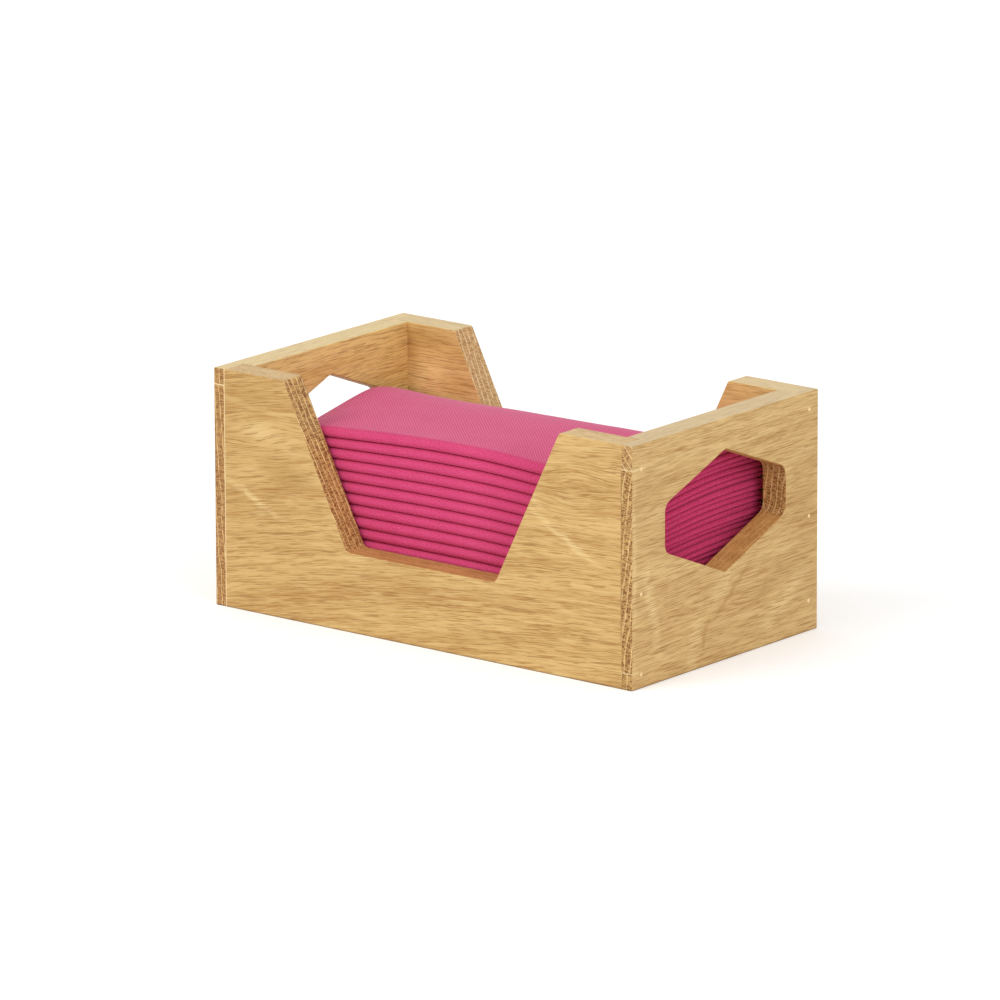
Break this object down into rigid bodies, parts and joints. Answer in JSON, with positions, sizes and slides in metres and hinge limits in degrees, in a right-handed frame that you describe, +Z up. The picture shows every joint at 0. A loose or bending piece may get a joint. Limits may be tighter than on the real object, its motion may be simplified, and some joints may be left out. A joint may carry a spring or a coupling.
{
  "type": "napkin box",
  "caption": "Open-topped oak box with a finger notch in each long side and a hand hole in each end, holding a stack of folded napkins.",
  "frame": {"origin": "middle of the footprint, on the surface the box stands on", "axes": "+X along the length to the right, +Y from the front wall to the back wall, +Z up; the front wall is at -Y"},
  "size_m": [0.2374, 0.1342, 0.11],
  "materials": {
    "oak": "matte",
    "oak_panel": "matte",
    "steel": "satin",
    "filler": "matte",
    "napkin": "matte"
  },
  "bodies": {
    "holder": {"front_panel": "oak", "back_panel": "oak", "left_end_main_stave": "oak", "left_end_top_stave": "oak", "right_end_bottom_stave": "oak", "right_end_middle_stave": "oak", "right_end_top_stave": "oak", "bottom_panel": "oak_panel", "corner_brads": "steel", "brad_hole_plugs": "filler"},
    "napkin_stack": {"napkin_01": "napkin", "napkin_02": "napkin", "napkin_03": "napkin", "napkin_04": "napkin", "napkin_05": "napkin", "napkin_06": "napkin", "napkin_07": "napkin", "napkin_08": "napkin", "napkin_09": "napkin", "napkin_10": "napkin", "napkin_11": "napkin", "napkin_12": "napkin", "napkin_13": "napkin", "napkin_14": "napkin"},
    "top_napkin": {"napkin_15": "napkin"}
  },
  "joints": [
    {"name": "stack_lift", "type": "slide", "parent": "holder", "child": "napkin_stack", "axis": [0, 0, 1], "range_m": [0, 0.12]},
    {"name": "top_napkin_lift", "type": "slide", "parent": "napkin_stack", "child": "top_napkin", "axis": [0, 0, 1], "range_m": [0, 0.06]}
  ]
}
